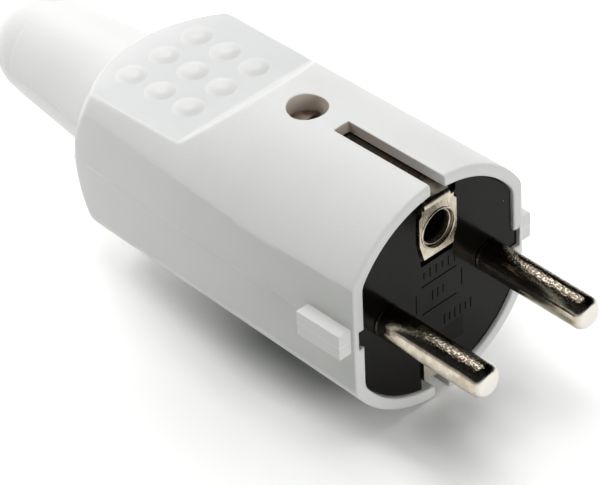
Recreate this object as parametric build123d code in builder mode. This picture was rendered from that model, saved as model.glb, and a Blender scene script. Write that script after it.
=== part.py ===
from build123d import *
from math import sqrt
import os

# Rewireable rubber plug: one rubber shell with a cord tail, and a black insert that holds
# two round pins, the earth socket, the earth strips and the cord clamp.
# Millimetres. Origin at the centre of the insert's front face. The pins point along -Y,
# the cord leaves along +Y, and +Z is the side with the earth socket and the housing screw.

os.makedirs("parts", exist_ok=True)

# Pins
pin_spacing = 19.0
pin_radius = 2.4
pin_reach = 19.0
pin_tip_round = 2.1
pin_neck_radius = 2.0
pin_recess = 0.3
pin_hole_clearance = 0.03

# Rubber shell
shell_radius = 18.2
shell_draft = 0.0205
shell_wall = 1.8
shell_front = -0.5
rim_round = 0.4
rest_flat = 0.12
dome_radius = 23.3
dome_centre = 37.6
flat_half_width = 15.9
flat_break = 18.5
flat_end = 54.5
flat_end_half_width = 14.5

# Grip flats, one above and one below
grip_front = 36.0
grip_height = 12.1
grip_slope = 0.04
grip_ramp_top = 30.0
bump_radius = 2.1
bump_height = 0.5
bump_pitch_x = 6.1
bump_pitch_y = 5.7
bump_first = 40.7

# Cord tail
tail_root_radius = 9.4
tail_step = 77.0
tail_step_radius = 7.5
tail_step_drop = 0.2
tail_end = 83.0
tail_end_radius = 4.8
tail_shoulder_radius = 6.75
tail_shoulder = 80.3
cord_hole_radius = 4.0
cord_funnel_radius = 6.0
cord_funnel_end = 66.0

# Slots, guide tabs and housing screw hole
slot_half_width = 1.35
slot_end = 17.4
tab_reach = 18.1
tab_front = 0.25
tab_back = 8.3
tab_half_height = 2.0
tab_round = 0.3
screw_y = 23.9
screw_well_radius = 2.87
screw_boss_radius = 4.7
screw_boss_bottom = 11.5
screw_lip = 1.7
screw_clear_radius = 1.95

# Insert
fit_gap = 0.15
insert_disc = 4.0
insert_back = 18.5
block_gap = 0.27
insert_bottom = -10.2
insert_top = 5.0
lug_reach = 15.0
lug_half_height = 1.4
lug_back = 6.0
column_half_width = 4.4
column_back = 16.4
recess_half_width = 3.7
recess_depth = 0.45
recess_gap = 0.25
recess_tail = 1.3
floor_gap = 0.44
floor_thickness = 1.8
floor_back = 42.5
floor_side_gap = 1.21
floor_rib = 1.4
floor_rib_height = 3.0
portal_front = 20.6
portal_back = 27.8
portal_gap = 0.53
portal_side_gap = 1.7
portal_wall = 2.2
portal_beam = 4.3
portal_corner = 3.0

# Earth strips
strip = 0.8
arm_half_width = 2.4
arm_height = 15.75
arm_gap = 0.15
arm_relief = 0.05
bend_outer = 1.2
bend_inner = 0.4
leg_back = 18.4
plate_front = -0.4
plate_half_width = 3.45
plate_neck_half_width = 2.95
plate_neck = 1.85
plate_reach = 4.0
plate_bottom_half_width = 2.7
plate_taper = 1.3
plate_corner = 0.5
plate_hole_radius = 2.85
earth_height = 10.3
lead_drop = 1.15
lead_length = 5.0
lower_tab_half_width = 3.3
lower_tab_length = 4.2
earth_screw_height = 3.0
leg_overlap = 3.5

# Earth socket sleeve
sleeve_bore_radius = 2.45
sleeve_radius = 3.0
sleeve_flange_radius = 3.5
sleeve_flange = 0.6
sleeve_end = 15.0
sleeve_slit = 0.6
sleeve_slit_start = 4.0

# Terminals
terminal_side = 7.0
terminal_gap = 0.15
terminal_chamfer = 0.4
wire_hole_radius = 1.6
wire_hole_depth = 11.0
terminal_screw_y = 13.5
terminal_thread_radius = 1.7
terminal_head_radius = 2.8
terminal_head = 2.0
terminal_head_lift = 0.5
terminal_screw_bottom = 0.6
thread_clearance = 0.05

# Pin retainer and its screws
retainer = 2.0
retainer_side_gap = 0.35
retainer_bottom = -7.4
retainer_window_half_width = 4.6
retainer_window_bottom = -0.6
wire_way_radius = 2.3
retainer_screw_x = 7.5
retainer_screw_z = -5.6
retainer_thread_radius = 1.2
retainer_head_radius = 1.75
retainer_head = 1.3
retainer_screw_length = 8.0

# Screw heads
screw_slot = 0.8
screw_slot_depth = 0.8
head_round = 0.4

# Cord clamp
clamp_y = 39.0
clamp_length = 5.6
clamp_half_width = 10.9
clamp_bottom = 0.6
clamp_thickness = 2.6
clamp_arch_radius = 4.2
clamp_arch_wall = 1.9
clamp_arch_z = -0.4
clamp_screw_x = 8.6
clamp_post_top = 0.3
clamp_post_half_width = 2.2
clamp_thread_radius = 1.45
clamp_head_radius = 2.4
clamp_head = 1.8
clamp_screw_bottom = -5.5
saddle_half_width = 4.2
saddle_top = -2.2

# Housing screw and nut
housing_thread_radius = 1.45
housing_head_radius = 2.72
housing_head = 1.9
housing_screw_bottom = 6.6
housing_clear_radius = 1.65
nut_side = 5.5
nut_thickness = 1.8
nut_gap = 0.1

# Earth washer and screw
washer_side = 5.0
washer_thickness = 1.0
earth_head = 1.8
earth_head_radius = 2.7
earth_screw_front = 15.4

# Worked out from the sizes above
pin_x = pin_spacing / 2
bump_ball = (bump_radius**2 + bump_height**2) / (2 * bump_height)
flat_slope = (flat_half_width - flat_end_half_width) / (flat_end - flat_break)
inner_flat = flat_half_width - shell_wall
inner_radius = shell_radius - shell_wall
insert_radius = inner_radius - fit_gap - shell_draft * insert_disc
insert_flat = inner_flat - fit_gap
insert_block_radius = inner_radius - shell_draft * insert_back - block_gap
portal_radius = inner_radius - shell_draft * portal_back - portal_gap
portal_half_width = inner_flat - portal_side_gap
retainer_half_width = insert_flat - retainer_side_gap
floor_bottom = shell_wall + floor_gap - grip_height + grip_slope * (floor_back - grip_front)
floor_shell = inner_radius - shell_draft * floor_back
floor_half_width = sqrt(floor_shell**2 - floor_bottom**2) - floor_side_gap
floor_top = floor_bottom + floor_thickness
rib_top = floor_top + floor_rib_height
plate_back = plate_front + strip
plate_shoulder = arm_height - plate_neck
plate_bottom = earth_height - plate_reach
plate_taper_start = earth_height - plate_taper
recess_bottom = plate_bottom - recess_tail
lead_height = arm_height - lead_drop
lower_tab_top = lead_height - lower_tab_length
portal_underside = screw_boss_bottom - portal_beam
terminal_back = insert_back - terminal_gap
retainer_back = insert_back + retainer
beyond = 30.0


def shell_radius_at(y, inset):
    return shell_radius - inset - shell_draft * y


def dome_y(radius, inset):
    return dome_centre + sqrt((dome_radius - inset) ** 2 - radius**2)


def dome_meet(inset):
    """Radius at which the drafted barrel runs into the dome."""
    radius = shell_radius - inset
    for _ in range(20):
        radius = shell_radius_at(dome_y(radius, inset), inset)
    return radius


def grip_plane(y):
    return grip_height - grip_slope * (y - grip_front)


def barrel(inset, front, tail_radius, tail_profile):
    """The shell's form, pulled in by inset, with its flats cut and its tail added."""
    meet = dome_meet(inset)
    arc_mid = (meet + tail_radius) / 2
    with BuildPart() as form:
        with BuildSketch(Plane.XY):
            with BuildLine():
                Polyline((0, front), (shell_radius_at(front, inset), front), (meet, dome_y(meet, inset)))
                ThreePointArc(
                    (meet, dome_y(meet, inset)),
                    (arc_mid, dome_y(arc_mid, inset)),
                    (tail_radius, dome_y(tail_radius, inset)),
                )
                end = tail_profile((tail_radius, dome_y(tail_radius, inset)))
                Polyline(end, (0, end[1]), (0, front))
            make_face()
        revolve(axis=Axis.Y)
        side = flat_half_width - inset
        side_end = side - flat_slope * (flat_end - flat_break)
        with BuildSketch(Plane.XY):
            with BuildLine():
                Polyline(
                    (side, front - 1),
                    (side, flat_break),
                    (side_end, flat_end),
                    (side_end, flat_end + 4),
                    (beyond, flat_end + 4),
                    (beyond, front - 1),
                    close=True,
                )
            make_face()
            mirror(about=Plane.YZ)
        extrude(amount=beyond, both=True, mode=Mode.SUBTRACT)
        ramp_top = shell_radius_at(grip_ramp_top, inset)
        with BuildSketch(Plane.YZ):
            with BuildLine():
                Polyline(
                    (grip_ramp_top - inset / 2 - 1, ramp_top + 1),
                    (grip_front - inset / 2, grip_plane(grip_front) - inset),
                    (tail_step, grip_plane(tail_step) - inset),
                    (tail_step, beyond),
                    (grip_ramp_top - inset / 2 - 1, beyond),
                    close=True,
                )
            make_face()
            mirror(about=Plane.XZ)
        extrude(amount=beyond, both=True, mode=Mode.SUBTRACT)
    return form.part


def outer_tail(start):
    Line(start, (tail_step_radius, tail_step))
    Line((tail_step_radius, tail_step), (tail_step_radius - tail_step_drop, tail_step))
    ThreePointArc(
        (tail_step_radius - tail_step_drop, tail_step),
        (tail_shoulder_radius, tail_shoulder),
        (tail_end_radius, tail_end),
    )
    return (tail_end_radius, tail_end)


def inner_tail(start):
    Polyline(start, (cord_hole_radius, cord_funnel_end), (cord_hole_radius, tail_end + 1))
    return (cord_hole_radius, tail_end + 1)


def box(low, high, mode=Mode.ADD):
    """A box between two corners, made in the part that is being built."""
    size = [b - a for a, b in zip(low, high)]
    centre = tuple((a + b) / 2 for a, b in zip(low, high))
    with Locations(centre):
        Box(size[0], size[1], size[2], mode=mode)


def rod(radius, front, back, x=0, z=0, mode=Mode.ADD):
    """A rod along Y from front to back."""
    with Locations((x, (front + back) / 2, z)):
        Cylinder(radius, back - front, rotation=(90, 0, 0), mode=mode)


def post(radius, low, high, x, y, mode=Mode.ADD):
    """A rod along Z from low to high."""
    with Locations((x, y, (low + high) / 2)):
        Cylinder(radius, high - low, mode=mode)


def bend_edges(strip_part, y, z):
    """The edges across a strip at one corner of its side view."""
    across = strip_part.edges().filter_by(Axis.X)
    return across.filter_by(lambda edge: abs(edge.center().Y - y) + abs(edge.center().Z - z) < 0.01)


# Body shell
with BuildPart() as body_shell:
    add(barrel(0, shell_front, tail_root_radius, outer_tail))
    fillet(body_shell.faces().sort_by(Axis.Y)[0].edges(), rim_round)
    with BuildSketch(Plane.YZ):
        with BuildLine():
            Polyline(
                (shell_front - 1, rest_flat - shell_radius_at(shell_front - 1, 0)),
                (grip_front, rest_flat - shell_radius_at(grip_front, 0)),
                (grip_front, -beyond),
                (shell_front - 1, -beyond),
                close=True,
            )
        make_face()
    extrude(amount=beyond, both=True, mode=Mode.SUBTRACT)
    for side in (-1, 1):
        with BuildSketch(Plane.XZ.offset(-tab_front)):
            with Locations((side * (inner_flat + tab_reach) / 2, 0)):
                RectangleRounded(tab_reach - inner_flat, 2 * tab_half_height, tab_round)
        extrude(amount=-(tab_back - tab_front))
    for side in (-1, 1):
        for row in range(3):
            bump_y = bump_first + row * bump_pitch_y
            bump_z = side * (grip_plane(bump_y) + bump_height - bump_ball)
            with Locations((0, bump_y, bump_z)):
                with GridLocations(bump_pitch_x, 1, 3, 1):
                    Sphere(bump_ball)
    add(barrel(shell_wall, shell_front - 1, cord_funnel_radius, inner_tail), mode=Mode.SUBTRACT)
    boss_top = shell_radius_at(screw_y, shell_wall / 2) - screw_boss_radius**2 / (2 * shell_radius)
    post(screw_boss_radius, screw_boss_bottom, boss_top, 0, screw_y)
    post(screw_clear_radius, screw_boss_bottom - 1, shell_radius, 0, screw_y, Mode.SUBTRACT)
    post(screw_well_radius, screw_boss_bottom + screw_lip, shell_radius + 1, 0, screw_y, Mode.SUBTRACT)
    for side in (-1, 1):
        box(
            (-slot_half_width, shell_front - 1, min(side * arm_height, side * beyond)),
            (slot_half_width, slot_end, max(side * arm_height, side * beyond)),
            Mode.SUBTRACT,
        )
    arm_room = arm_half_width + arm_gap
    arm_top = arm_height + arm_relief
    box((-arm_room, shell_front - 1, -arm_top), (arm_room, leg_back + arm_gap, arm_top), Mode.SUBTRACT)
    tab_room = lower_tab_half_width + arm_gap
    box((-tab_room, shell_front - 1, -lead_height - arm_gap), (tab_room, lead_length, 0), Mode.SUBTRACT)
    box(
        (-lug_reach - fit_gap, shell_front - 1, -lug_half_height - fit_gap),
        (lug_reach + fit_gap, lug_back + fit_gap, lug_half_height + fit_gap),
        Mode.SUBTRACT,
    )
body_shell.part.label = "body_shell"
export_step(body_shell.part, "parts/body_shell.step")


def plate_outline(grow, bottom):
    """Outline of the earth plate on Plane.XZ, x across and z up."""
    neck = plate_neck_half_width + grow
    wide = plate_half_width + grow
    foot = plate_bottom_half_width + grow
    Polyline(
        (neck, arm_height - bend_outer),
        (neck, plate_shoulder + grow),
        (wide, plate_shoulder - plate_corner + grow),
        (wide, plate_taper_start),
        (foot, bottom),
        (-foot, bottom),
        (-wide, plate_taper_start),
        (-wide, plate_shoulder - plate_corner + grow),
        (-neck, plate_shoulder + grow),
        (-neck, arm_height - bend_outer),
        close=True,
    )


# Contact insert
with BuildPart() as contact_insert:
    with BuildSketch(Plane.XZ):
        Circle(insert_radius)
        Rectangle(2 * insert_flat, beyond * 2, mode=Mode.INTERSECT)
    extrude(amount=-insert_disc)
    with BuildSketch(Plane.XZ.offset(-insert_disc)):
        Circle(insert_block_radius)
        with Locations((0, (insert_bottom + insert_top) / 2)):
            Rectangle(2 * insert_flat, insert_top - insert_bottom, mode=Mode.INTERSECT)
    extrude(amount=-(insert_back - insert_disc))
    with BuildSketch(Plane.XZ.offset(-insert_disc)):
        Circle(insert_block_radius)
        Rectangle(
            2 * column_half_width,
            2 * (arm_height - strip - arm_gap),
            mode=Mode.INTERSECT,
        )
    extrude(amount=-(column_back - insert_disc))
    box((-lug_reach, 0, -lug_half_height), (lug_reach, lug_back, lug_half_height))
    with BuildSketch(Plane.XZ.offset(-portal_front)):
        Circle(portal_radius)
        with Locations((0, (floor_bottom + screw_boss_bottom) / 2)):
            Rectangle(2 * portal_half_width, screw_boss_bottom - floor_bottom, mode=Mode.INTERSECT)
        window_half = portal_half_width - portal_wall
        with BuildLine(mode=Mode.PRIVATE) as window:
            Polyline(
                (-window_half, floor_top),
                (window_half, floor_top),
                (window_half, portal_underside - portal_corner),
                (window_half - portal_corner, portal_underside),
                (portal_corner - window_half, portal_underside),
                (-window_half, portal_underside - portal_corner),
                close=True,
            )
        make_face(window.edges(), mode=Mode.SUBTRACT)
    extrude(amount=-(portal_back - portal_front))
    box((-floor_half_width, insert_back - 1, floor_bottom), (floor_half_width, floor_back, floor_top))
    for side in (-1, 1):
        rib_x = side * (floor_half_width - floor_rib / 2)
        with Locations((rib_x, (portal_front + floor_back) / 2, (floor_bottom + rib_top) / 2)):
            Box(floor_rib, floor_back - portal_front, rib_top - floor_bottom)
        with Locations((side * clamp_screw_x, clamp_y, (floor_bottom + clamp_post_top) / 2)):
            Box(2 * clamp_post_half_width, clamp_length, clamp_post_top - floor_bottom)
    box(
        (-saddle_half_width, clamp_y - clamp_length / 2, floor_bottom),
        (saddle_half_width, clamp_y + clamp_length / 2, saddle_top),
    )
    rod(clamp_arch_radius, portal_back, floor_back + 1, 0, clamp_arch_z, Mode.SUBTRACT)
    with BuildSketch(Plane.XZ.offset(1)):
        with BuildLine():
            plate_outline(recess_gap, recess_bottom)
        make_face()
    extrude(amount=-(1 + recess_depth), mode=Mode.SUBTRACT)
    box(
        (-recess_half_width, -1, arm_height - bend_outer - arm_gap),
        (recess_half_width, plate_back + arm_gap, beyond),
        Mode.SUBTRACT,
    )
    box(
        (-arm_half_width - arm_gap, -1, arm_height - strip - arm_gap),
        (arm_half_width + arm_gap, leg_back + arm_gap, beyond),
        Mode.SUBTRACT,
    )
    box(
        (-lower_tab_half_width - arm_gap, -1, -lead_height + strip / 2),
        (lower_tab_half_width + arm_gap, recess_depth, -lower_tab_top + arm_gap),
        Mode.SUBTRACT,
    )
    box(
        (-lower_tab_half_width - arm_gap, -1, -beyond),
        (lower_tab_half_width + arm_gap, lead_length + arm_gap, -lead_height + strip + arm_gap),
        Mode.SUBTRACT,
    )
    box(
        (-arm_half_width - arm_gap, 0, -beyond),
        (arm_half_width + arm_gap, leg_back, -arm_height + strip + arm_gap),
        Mode.SUBTRACT,
    )
    box(
        (-arm_half_width - arm_gap, leg_back - 2 * strip - arm_gap, -beyond),
        (arm_half_width + arm_gap, insert_back + 0.1, beyond),
        Mode.SUBTRACT,
    )
    flange_seat = plate_back + sleeve_flange
    rod(sleeve_flange_radius + arm_gap, 0, flange_seat, 0, earth_height, Mode.SUBTRACT)
    rod(sleeve_radius + arm_gap, 0, sleeve_end + arm_gap, 0, earth_height, Mode.SUBTRACT)
    tip_room = earth_screw_front - arm_gap
    rod(terminal_thread_radius + arm_gap, tip_room, leg_back, 0, earth_screw_height, Mode.SUBTRACT)
    for side in (-1, 1):
        pocket = terminal_side / 2 + terminal_gap
        rod(pin_neck_radius + pin_hole_clearance, -1, insert_disc + 1, side * pin_x, 0, Mode.SUBTRACT)
        rod(pin_radius + pin_hole_clearance, -1, pin_recess, side * pin_x, 0, Mode.SUBTRACT)
        box(
            (side * pin_x - pocket, insert_disc, -pocket),
            (side * pin_x + pocket, insert_back + 0.1, insert_top + 1),
            Mode.SUBTRACT,
        )
        rod(
            retainer_head_radius + arm_gap,
            insert_back,
            retainer_back + retainer_head + arm_gap,
            side * retainer_screw_x,
            retainer_screw_z,
            Mode.SUBTRACT,
        )
        rod(
            retainer_thread_radius + thread_clearance,
            retainer_back - retainer_screw_length - arm_gap,
            insert_back + 0.1,
            side * retainer_screw_x,
            retainer_screw_z,
            Mode.SUBTRACT,
        )
        post(
            clamp_thread_radius + thread_clearance,
            clamp_screw_bottom - arm_gap,
            clamp_post_top + 1,
            side * clamp_screw_x,
            clamp_y,
            Mode.SUBTRACT,
        )
    post(housing_clear_radius, 0, screw_boss_bottom + 1, 0, screw_y, Mode.SUBTRACT)
    nut_pocket = nut_side / 2 + nut_gap
    box(
        (-nut_pocket, screw_y - nut_pocket, portal_underside - 1),
        (nut_pocket, screw_y + nut_pocket, screw_boss_bottom - portal_beam / 2),
        Mode.SUBTRACT,
    )
contact_insert.part.label = "contact_insert"
export_step(contact_insert.part, "parts/contact_insert.step")


# Pins with their terminal blocks
for name, side in (("pin_left", -1), ("pin_right", 1)):
    with BuildPart() as pin:
        rod(pin_radius, -pin_reach, 0, side * pin_x)
        fillet(pin.faces().sort_by(Axis.Y)[0].edges(), pin_tip_round)
        rod(pin_neck_radius, 0, insert_disc, side * pin_x)
        block = terminal_side / 2
        with Locations((side * pin_x, (insert_disc + terminal_back) / 2, 0)):
            Box(terminal_side, terminal_back - insert_disc, terminal_side)
        chamfer(pin.edges().filter_by(Axis.Y), terminal_chamfer)
        rod(
            wire_hole_radius,
            terminal_back - wire_hole_depth,
            terminal_back + 1,
            side * pin_x,
            0,
            Mode.SUBTRACT,
        )
        post(
            terminal_thread_radius + thread_clearance,
            0,
            block + 1,
            side * pin_x,
            terminal_screw_y,
            Mode.SUBTRACT,
        )
    pin.part.label = name
    export_step(pin.part, f"parts/{name}.step")

# Terminal screws
for name, side in (("terminal_screw_left", -1), ("terminal_screw_right", 1)):
    head_seat = terminal_side / 2 + terminal_head_lift
    head_top = head_seat + terminal_head
    with BuildPart() as terminal_screw:
        post(terminal_head_radius, head_seat, head_top, side * pin_x, terminal_screw_y)
        fillet(terminal_screw.faces().sort_by(Axis.Z)[-1].edges(), head_round)
        post(terminal_thread_radius, terminal_screw_bottom, head_seat, side * pin_x, terminal_screw_y)
        with Locations((side * pin_x, terminal_screw_y, head_top)):
            Box(2 * terminal_head_radius, screw_slot, 2 * screw_slot_depth, mode=Mode.SUBTRACT)
    terminal_screw.part.label = name
    export_step(terminal_screw.part, f"parts/{name}.step")

# Upper earth strip with its front plate
with BuildPart() as earth_strip_upper:
    leg_low = earth_screw_height - leg_overlap
    with BuildSketch(Plane.YZ):
        with BuildLine():
            Polyline(
                (plate_front, plate_shoulder),
                (plate_front, arm_height),
                (leg_back, arm_height),
                (leg_back, leg_low),
                (leg_back - strip, leg_low),
                (leg_back - strip, arm_height - strip),
                (plate_back, arm_height - strip),
                (plate_back, plate_shoulder),
                close=True,
            )
        make_face()
    extrude(amount=arm_half_width, both=True)
    fillet(bend_edges(earth_strip_upper, plate_front, arm_height), bend_outer)
    fillet(bend_edges(earth_strip_upper, leg_back, arm_height), bend_outer)
    fillet(bend_edges(earth_strip_upper, plate_back, arm_height - strip), bend_inner)
    fillet(bend_edges(earth_strip_upper, leg_back - strip, arm_height - strip), bend_inner)
    with BuildSketch(Plane.XZ.offset(-plate_front)):
        with BuildLine():
            plate_outline(0, plate_bottom)
        make_face()
    extrude(amount=-strip)
    rod(plate_hole_radius, plate_front - 1, plate_back + 1, 0, earth_height, Mode.SUBTRACT)
    thread = terminal_thread_radius + thread_clearance
    rod(thread, leg_back - 2 * strip, leg_back + 1, 0, earth_screw_height, Mode.SUBTRACT)
earth_strip_upper.part.label = "earth_strip_upper"
export_step(earth_strip_upper.part, "parts/earth_strip_upper.step")

# Lower earth strip with its front tab
with BuildPart() as earth_strip_lower:
    leg_front = leg_back - 2 * strip
    leg_high = earth_screw_height + leg_overlap
    with BuildSketch(Plane.YZ):
        with BuildLine():
            Polyline(
                (plate_front, -lower_tab_top),
                (plate_front, -lead_height),
                (lead_length, -arm_height),
                (leg_back - strip, -arm_height),
                (leg_back - strip, leg_high),
                (leg_front, leg_high),
                (leg_front, strip - arm_height),
                (lead_length, strip - arm_height),
                (plate_back, strip - lead_height),
                (plate_back, -lower_tab_top),
                close=True,
            )
        make_face()
    extrude(amount=arm_half_width, both=True)
    fillet(bend_edges(earth_strip_lower, plate_front, -lead_height), bend_outer / 2)
    fillet(bend_edges(earth_strip_lower, leg_back - strip, -arm_height), bend_outer)
    fillet(bend_edges(earth_strip_lower, leg_front, strip - arm_height), bend_inner)
    box(
        (-lower_tab_half_width, plate_front, strip / 2 - lead_height),
        (lower_tab_half_width, plate_back, -lower_tab_top),
    )
    rod(thread, leg_front - 1, leg_back, 0, earth_screw_height, Mode.SUBTRACT)
earth_strip_lower.part.label = "earth_strip_lower"
export_step(earth_strip_lower.part, "parts/earth_strip_lower.step")

# Earth socket sleeve behind the plate, slit so that it springs
with BuildPart() as earth_socket_sleeve:
    rod(sleeve_flange_radius, plate_back, plate_back + sleeve_flange, 0, earth_height)
    rod(sleeve_radius, plate_back, sleeve_end, 0, earth_height)
    rod(sleeve_bore_radius, plate_back - 1, sleeve_end + 1, 0, earth_height, Mode.SUBTRACT)
    with Locations((0, (sleeve_slit_start + sleeve_end + 1) / 2, earth_height)):
        Box(2 * beyond, sleeve_end + 1 - sleeve_slit_start, sleeve_slit, mode=Mode.SUBTRACT)
        Box(sleeve_slit, sleeve_end + 1 - sleeve_slit_start, 2 * sleeve_radius + 1, mode=Mode.SUBTRACT)
earth_socket_sleeve.part.label = "earth_socket_sleeve"
export_step(earth_socket_sleeve.part, "parts/earth_socket_sleeve.step")

# Earth clamp washer
with BuildPart() as earth_clamp_washer:
    with Locations((0, leg_back + washer_thickness / 2, earth_screw_height)):
        Box(washer_side, washer_thickness, washer_side)
    chamfer(earth_clamp_washer.edges().filter_by(Axis.Y), terminal_chamfer)
    rod(thread, leg_back - 1, leg_back + washer_thickness + 1, 0, earth_screw_height, Mode.SUBTRACT)
earth_clamp_washer.part.label = "earth_clamp_washer"
export_step(earth_clamp_washer.part, "parts/earth_clamp_washer.step")

# Earth terminal screw
with BuildPart() as earth_terminal_screw:
    head_seat = leg_back + washer_thickness
    rod(earth_head_radius, head_seat, head_seat + earth_head, 0, earth_screw_height)
    fillet(earth_terminal_screw.faces().sort_by(Axis.Y)[-1].edges(), head_round)
    rod(terminal_thread_radius, earth_screw_front, head_seat, 0, earth_screw_height)
    with Locations((0, head_seat + earth_head, earth_screw_height)):
        Box(2 * earth_head_radius, 2 * screw_slot_depth, screw_slot, mode=Mode.SUBTRACT)
earth_terminal_screw.part.label = "earth_terminal_screw"
export_step(earth_terminal_screw.part, "parts/earth_terminal_screw.step")

# Plate that keeps the pins from moving back
with BuildPart() as pin_retainer:
    with BuildSketch(Plane.XZ.offset(-insert_back)):
        Circle(insert_block_radius)
        with Locations((0, (retainer_bottom + insert_top) / 2)):
            Rectangle(2 * retainer_half_width, insert_top - retainer_bottom, mode=Mode.INTERSECT)
        with Locations((0, (retainer_window_bottom + beyond) / 2)):
            Rectangle(
                2 * retainer_window_half_width,
                beyond - retainer_window_bottom,
                mode=Mode.SUBTRACT,
            )
        with Locations((-pin_x, 0), (pin_x, 0)):
            Circle(wire_way_radius, mode=Mode.SUBTRACT)
        with Locations((-retainer_screw_x, retainer_screw_z), (retainer_screw_x, retainer_screw_z)):
            Circle(retainer_thread_radius + fit_gap, mode=Mode.SUBTRACT)
    extrude(amount=-retainer)
pin_retainer.part.label = "pin_retainer"
export_step(pin_retainer.part, "parts/pin_retainer.step")

# Retainer screws
for name, side in (("retainer_screw_left", -1), ("retainer_screw_right", 1)):
    with BuildPart() as retainer_screw:
        head_back = retainer_back + retainer_head
        rod(retainer_head_radius, retainer_back, head_back, side * retainer_screw_x, retainer_screw_z)
        fillet(retainer_screw.faces().sort_by(Axis.Y)[-1].edges(), head_round)
        tip = retainer_back - retainer_screw_length
        rod(retainer_thread_radius, tip, retainer_back, side * retainer_screw_x, retainer_screw_z)
        with Locations((side * retainer_screw_x, head_back, retainer_screw_z)):
            Box(screw_slot, screw_slot_depth, 2 * retainer_head_radius, mode=Mode.SUBTRACT)
    retainer_screw.part.label = name
    export_step(retainer_screw.part, f"parts/{name}.step")

# Cord clamp bar, arched over the cord
with BuildPart() as cord_clamp:
    clamp_front = clamp_y - clamp_length / 2
    clamp_back = clamp_y + clamp_length / 2
    clamp_top = clamp_bottom + clamp_thickness
    rod(clamp_arch_radius + clamp_arch_wall, clamp_front, clamp_back, 0, clamp_arch_z)
    box((-clamp_half_width, clamp_front, clamp_bottom), (clamp_half_width, clamp_back, clamp_top))
    rod(clamp_arch_radius, clamp_front - 1, clamp_back + 1, 0, clamp_arch_z, Mode.SUBTRACT)
    box((-beyond, clamp_front - 1, -beyond), (beyond, clamp_back + 1, clamp_bottom), Mode.SUBTRACT)
    for side in (-1, 1):
        post(
            clamp_thread_radius + fit_gap,
            clamp_bottom - 1,
            clamp_top + 1,
            side * clamp_screw_x,
            clamp_y,
            Mode.SUBTRACT,
        )
cord_clamp.part.label = "cord_clamp"
export_step(cord_clamp.part, "parts/cord_clamp.step")

# Clamp screws
for name, side in (("clamp_screw_left", -1), ("clamp_screw_right", 1)):
    with BuildPart() as clamp_screw:
        post(clamp_head_radius, clamp_top, clamp_top + clamp_head, side * clamp_screw_x, clamp_y)
        fillet(clamp_screw.faces().sort_by(Axis.Z)[-1].edges(), head_round)
        post(clamp_thread_radius, clamp_screw_bottom, clamp_top, side * clamp_screw_x, clamp_y)
        with Locations((side * clamp_screw_x, clamp_y, clamp_top + clamp_head)):
            Box(2 * clamp_head_radius, screw_slot, 2 * screw_slot_depth, mode=Mode.SUBTRACT)
    clamp_screw.part.label = name
    export_step(clamp_screw.part, f"parts/{name}.step")

# Housing screw
with BuildPart() as housing_screw:
    head_seat = screw_boss_bottom + screw_lip
    head_top = head_seat + housing_head
    post(housing_head_radius, head_seat, head_top, 0, screw_y)
    fillet(housing_screw.faces().sort_by(Axis.Z)[-1].edges(), head_round)
    post(housing_thread_radius, housing_screw_bottom, head_seat, 0, screw_y)
    with Locations((0, screw_y, head_top)):
        Box(2 * housing_head_radius, screw_slot, 2 * screw_slot_depth, mode=Mode.SUBTRACT)
housing_screw.part.label = "housing_screw"
export_step(housing_screw.part, "parts/housing_screw.step")

# Housing nut, seated in the insert's beam
with BuildPart() as housing_nut:
    nut_top = screw_boss_bottom - portal_beam / 2
    box(
        (-nut_side / 2, screw_y - nut_side / 2, nut_top - nut_thickness),
        (nut_side / 2, screw_y + nut_side / 2, nut_top),
    )
    chamfer(housing_nut.edges().filter_by(Axis.Z), terminal_chamfer)
    nut_thread = housing_thread_radius + thread_clearance
    post(nut_thread, nut_top - nut_thickness - 1, nut_top + 1, 0, screw_y, Mode.SUBTRACT)
housing_nut.part.label = "housing_nut"
export_step(housing_nut.part, "parts/housing_nut.step")
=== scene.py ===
from math import asin, atan2, cos, hypot, pi, radians, sin, sqrt

import bmesh
import bpy
import numpy as np
from mathutils import Matrix, Vector


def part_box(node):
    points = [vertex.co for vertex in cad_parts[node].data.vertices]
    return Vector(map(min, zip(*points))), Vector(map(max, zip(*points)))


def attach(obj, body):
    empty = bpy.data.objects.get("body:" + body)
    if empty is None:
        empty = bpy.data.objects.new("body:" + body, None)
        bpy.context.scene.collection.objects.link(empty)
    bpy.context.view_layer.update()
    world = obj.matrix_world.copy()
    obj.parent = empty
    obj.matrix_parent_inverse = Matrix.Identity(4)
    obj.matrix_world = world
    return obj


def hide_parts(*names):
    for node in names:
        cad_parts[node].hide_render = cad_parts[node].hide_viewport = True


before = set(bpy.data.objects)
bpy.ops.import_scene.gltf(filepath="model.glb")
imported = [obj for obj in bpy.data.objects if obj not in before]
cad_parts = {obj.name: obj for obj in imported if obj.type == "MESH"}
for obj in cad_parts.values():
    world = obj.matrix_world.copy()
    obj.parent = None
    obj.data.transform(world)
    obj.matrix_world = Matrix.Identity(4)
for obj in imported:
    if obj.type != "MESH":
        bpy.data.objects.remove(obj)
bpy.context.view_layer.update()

MM = 0.001

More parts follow.
